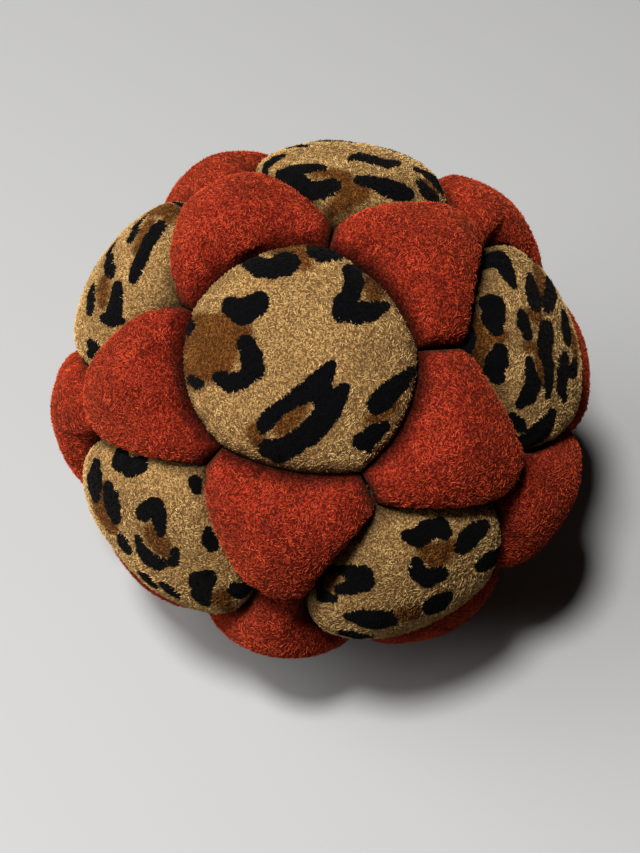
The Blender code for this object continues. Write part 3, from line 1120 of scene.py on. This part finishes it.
# Lays the repeats out side by side on one UV map, each in a cell of its own
def intoCells(tree, copies):
    count = addNode(tree, "GeometryNodeAttributeDomainSize", {0: copies}, component="INSTANCES")
    across = maths(tree, "CEIL", maths(tree, "SQRT", count["Instance Count"]))
    number = addNode(tree, "GeometryNodeInputIndex")[0]
    row = maths(tree, "FLOOR", maths(tree, "DIVIDE", number, across))
    column = maths(tree, "SUBTRACT", number, maths(tree, "MULTIPLY", row, across))
    copies = stored(tree, copies, "cell", combined(tree, X=column, Y=row), "INSTANCE", "FLOAT_VECTOR")
    real = addNode(tree, "GeometryNodeRealizeInstances", {"Geometry": copies})[0]
    own, cell = (named(tree, name, "FLOAT_VECTOR") for name in ("OFBake", "cell"))
    place = vectorMaths(tree, "MULTIPLY_ADD", {0: own, 1: tuftMap, 2: cell})
    share = maths(tree, "DIVIDE", 1.0, across)
    scaled = vectorMaths(tree, "SCALE", {0: place, "Scale": share})
    return stored(tree, real, "OFBake", scaled, "CORNER", "FLOAT2")


# Tufts of nap that stand up out of the suede
tufts = {
    "Tufts per square millimetre": 16.0,
    "Length": 0.00030,
    "Width": 0.000052,
    "Lean": 1.25,
    "Flow scale": 260.0,  # areas whose tufts lie one way
    "Flow turn": 14.0,
    "Swirl scale": 1500.0,
    "Swirl turn": 7.0,
    "Seed": 5,
}
# A cone's own map covers one by one half, and fills nearly all of its cell
tuftMap = (0.96, 1.92, 0)


def tuftTree():
    tree, given, end = emptyTree("napTufts", {**tufts, "Suede": None})
    place = addNode(tree, "GeometryNodeInputPosition")[0]
    face = named(tree, "onFace", "FLOAT")
    crowd = maths(tree, "MULTIPLY", given["Tufts per square millimetre"], 1e6)
    points = addNode(tree, "GeometryNodeDistributePointsOnFaces", {
        "Mesh": given["Geometry"], "Density": maths(tree, "MULTIPLY", crowd, face),
        "Seed": given["Seed"]})
    cone = addNode(tree, "GeometryNodeMeshCone", {
        "Vertices": 3, "Radius Top": 0.0, "Radius Bottom": given["Width"], "Depth": given["Length"]},
        fill_type="NGON")
    height = addNode(tree, "ShaderNodeSeparateXYZ", {0: place})["Z"]
    up = maths(tree, "DIVIDE", height, given["Length"])
    # Height along the tuft, by which its colour is darker at the root as painted shade and lighter at the
    # tip as painted highlight
    marked = stored(tree, cone["Mesh"], "tip", up, "POINT")
    marked = stored(tree, marked, "OFBake", cone["UV Map"], "CORNER", "FLOAT2")
    flow = noiseOf(tree, place, given["Flow scale"], 1.0)["Fac"]
    swirl = noiseOf(tree, place, given["Swirl scale"], 0.0)["Fac"]
    turn = maths(tree, "MULTIPLY_ADD", flow, given["Flow turn"], chance(tree, -0.7, 0.7, 3))
    turn = maths(tree, "MULTIPLY_ADD", swirl, given["Swirl turn"], turn)
    down = maths(tree, "MULTIPLY", chance(tree, 0.7, 1.25, 4), given["Lean"])
    turned = rotated(tree, points["Rotation"], combined(tree, Z=turn))
    laid = rotated(tree, turned, combined(tree, X=down))
    small = maths(tree, "MULTIPLY_ADD", face, 0.6, 0.4)
    made = addNode(tree, "GeometryNodeInstanceOnPoints", {
        "Points": points["Points"], "Instance": marked, "Rotation": laid,
        "Scale": maths(tree, "MULTIPLY", chance(tree, 0.65, 1.3, 6), small)})
    shaded = stored(tree, made[0], "tuftShade", chance(tree, 0.0, 1.0, 7), "INSTANCE")
    coloured(tree, end, intoCells(tree, shaded), given["Suede"])
    return tree


def addNap():
    tree = tuftTree()
    for number, item in enumerate(panels):
        sizes = {**tufts, "Seed": tufts["Seed"] + number, "Suede": materials[item["kind"] + "Nap"]}
        piece = grow(tree, item["faceMesh"], item["node"] + "_nap", sizes)
        rested(piece.data)
        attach(piece, "root")
        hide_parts(item["node"])


# Ladder stitches that draw each seam shut, seen at the bottom of the grooves
stitches = {
    "Pitch": 0.0015,
    "Span": 0.0013,
    "Rise": 0.0001,
    "Thread radius": 0.00013,
    "Slant": 0.5,
}
stitchDepth = 0.0008  # below the seams


def seamLines():
    runs = [side for item in panels if item["kind"] == "leopard" for side in item["sides"]]
    shorts = {}
    for item in panels:
        if item["kind"] == "rust":
            for side in item["sides"][1::2]:
                shorts[tuple(np.round(side.mean(0), 4))] = side
    places, edges = [], []
    for run in runs + list(shorts.values()):
        edges += [(len(places) + step, len(places) + step + 1) for step in range(len(run) - 1)]
        places += list(onBall(run, ball["grooveRadius"] - stitchDepth))
    return meshOf("seams", places, edges, [])


def stitchTree():
    tree, given, end = emptyTree("ladderStitches", {**stitches, "Thread": None})
    seams = addNode(tree, "GeometryNodeMeshToCurve", {"Mesh": given["Geometry"]})[0]
    spaced = addNode(tree, "GeometryNodeResampleCurve", {
        "Curve": seams, "Length": given["Pitch"]}, mode="LENGTH")[0]
    half = maths(tree, "MULTIPLY", given["Span"], 0.5)
    start, stop = (combined(tree, Y=maths(tree, "MULTIPLY", half, way)) for way in (-1.0, 1.0))
    top = combined(tree, Z=maths(tree, "MULTIPLY", given["Rise"], 2.0))
    arch = addNode(tree, "GeometryNodeCurveQuadraticBezier", {
        "Resolution": 6, "Start": start, "Middle": top, "End": stop})[0]
    section = addNode(tree, "GeometryNodeCurvePrimitiveCircle", {
        "Resolution": 6, "Radius": given["Thread radius"]})[0]
    stitch = addNode(tree, "GeometryNodeCurveToMesh", {
        "Curve": arch, "Profile Curve": section, "Fill Caps": True})[0]
    place = addNode(tree, "GeometryNodeInputPosition")[0]
    outward = vectorMaths(tree, "SUBTRACT", {0: place, 1: tuple(ballMiddle)})
    standing = addNode(tree, "FunctionNodeAlignRotationToVector", {"Vector": outward}, axis="Z")[0]
    along = addNode(tree, "FunctionNodeAlignRotationToVector", {
        "Rotation": standing, "Vector": addNode(tree, "GeometryNodeInputTangent")[0]},
        axis="X", pivot_axis="Z")[0]
    slant = maths(tree, "ADD", given["Slant"], chance(tree, -0.2, 0.2, 5))
    made = addNode(tree, "GeometryNodeInstanceOnPoints", {
        "Points": spaced, "Instance": stitch,
        "Rotation": rotated(tree, along, combined(tree, Z=slant)),
        "Scale": chance(tree, 0.85, 1.15, 6)})[0]
    real = addNode(tree, "GeometryNodeRealizeInstances", {"Geometry": made})[0]
    coloured(tree, end, real, given["Thread"])
    return tree


def addStitches():
    piece = grow(stitchTree(), seamLines(), "seam_stitches", {**stitches, "Thread": materials["thread"]})
    piece.data.shade_smooth()
    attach(piece, "root")
    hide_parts("seam_thread")


def addFill():
    mesh = bmesh.new()
    bmesh.ops.create_icosphere(mesh, subdivisions=5, radius=1.0)
    directions, radii = fromMiddle(np.concatenate([item["places"] for item in panels]))
    near = np.concatenate([item["seamDistance"] for item in panels])
    tree = KDTree(len(directions))
    for index, direction in enumerate(directions):
        tree.insert(direction, index)
    tree.balance()
    for vertex in mesh.verts:
        around = [index for _, index, _ in tree.find_n(vertex.co, 9)]
        free = min(max(near[around].min() / fill["hemReach"] - 1, 0), 1)
        reachOut = fill["hemRadius"] * (1 - free) + (radii[around].min() - fill["under"]) * free
        vertex.co = onBall(np.array(vertex.co), reachOut)
        vertex.co.z = max(vertex.co.z, fill["lowest"])
    piece = handMade(mesh, "pellet_fill_lumps", materials["pellets"])
    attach(piece, "root")
    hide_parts("pellet_fill")


addNap()
print("nap: grown")
addStitches()
addFill()
print("stitches and pellets: made")


def addCamera():
    right, up, back = cameraAxes()
    data = bpy.data.cameras.new("camera")
    camera = placed("camera", data)
    place = Matrix((right, up, back)).transposed().to_4x4()
    place.translation = ballMiddle + back * view["distance"]
    camera.matrix_world = place
    width, height = view["frame"]
    data.sensor_width = view["sensor"]
    data.lens = view["focalPixels"] * view["sensor"] / height
    data.shift_x = (width / 2 - view["ballPixel"][0]) / height
    data.shift_y = (view["ballPixel"][1] - height / 2) / height
    data.clip_start = view["nearest"]
    bpy.context.scene.camera = camera


# Lamps, by the way they lie from the ball: to the camera's right, away from it, and up
light = {
    "key": {"from": (-0.21, -0.235, 0.95), "distance": 0.50, "size": 0.10, "power": 2.35},
    "fill": {"from": (-0.80, -0.12, 0.58), "distance": 0.50, "size": 0.50, "power": 1.85},
    "world": 0.007,
    "floor": (0.54, 0.537, 0.525),
    "floorSize": 4,
    "floorRoughness": 0.6,
    "floorBounce": 0.22,  # how much light the floor throws back at the ball
    "backdrop": (0.60, 0.597, 0.585),  # the pale paper that the board runs out into, to the camera alone
    "backdropFrom": 0.16,
    "backdropTo": 0.60,
}


def addLamp(name, values):
    right = cameraAxes()[0]
    level = unit(np.array([right[0], right[1], 0]))
    away = np.array([-level[1], level[0], 0])
    x, y, z = values["from"]
    towards = Vector(unit(level * x + away * y + np.array([0, 0, z])))
    data = bpy.data.lights.new(name, "AREA")
    data.shape = "DISK"
    data.size = values["size"]
    data.energy = values["power"]
    lamp = placed(name, data)
    lamp.location = Vector(ballMiddle) + towards * values["distance"]
    lamp.rotation_euler = towards.to_track_quat("Z", "Y").to_euler()


def seenByCamera(tree):
    return addNode(tree, "ShaderNodeLightPath")["Is Camera Ray"]


def addFloor():
    bpy.ops.mesh.primitive_plane_add(size=light["floorSize"])
    floor = bpy.context.object
    floor.name = "floor"
    material, tree, shader = emptyMaterial("paleBoard")
    far = addNode(tree, "ShaderNodeVectorMath", {0: objectPlace(tree)}, operation="LENGTH")["Value"]
    paper = addNode(tree, "ShaderNodeMapRange", {
        "Value": far, "From Min": light["backdropFrom"], "From Max": light["backdropTo"]},
        interpolation_type="SMOOTHSTEP")["Result"]
    board = mixed(tree, paper, light["floor"], (0, 0, 0))
    seen = seenByCamera(tree)
    feed(tree, shader, {
        "Base Color": mixed(tree, seen, (light["floorBounce"],) * 3, board),
        "Emission Strength": maths(tree, "MULTIPLY", paper, seen),
        "Emission Color": light["backdrop"], "Roughness": light["floorRoughness"]})
    material.cycles.emission_sampling = "NONE"
    floor.data.materials.append(material)


def addWorld():
    world = bpy.data.worlds.new("studio")
    bpy.context.scene.world = world
    world.use_nodes = True
    tree = world.node_tree
    sky = mixed(tree, seenByCamera(tree), (light["world"],) * 3, light["backdrop"])
    feed(tree, tree.nodes["Background"], {"Color": sky})


addCamera()
for name in ("key", "fill"):
    addLamp(name, light[name])
addFloor()
addWorld()
bpy.context.scene.view_settings.view_transform = "Standard"
print("camera, lamps and floor: set")
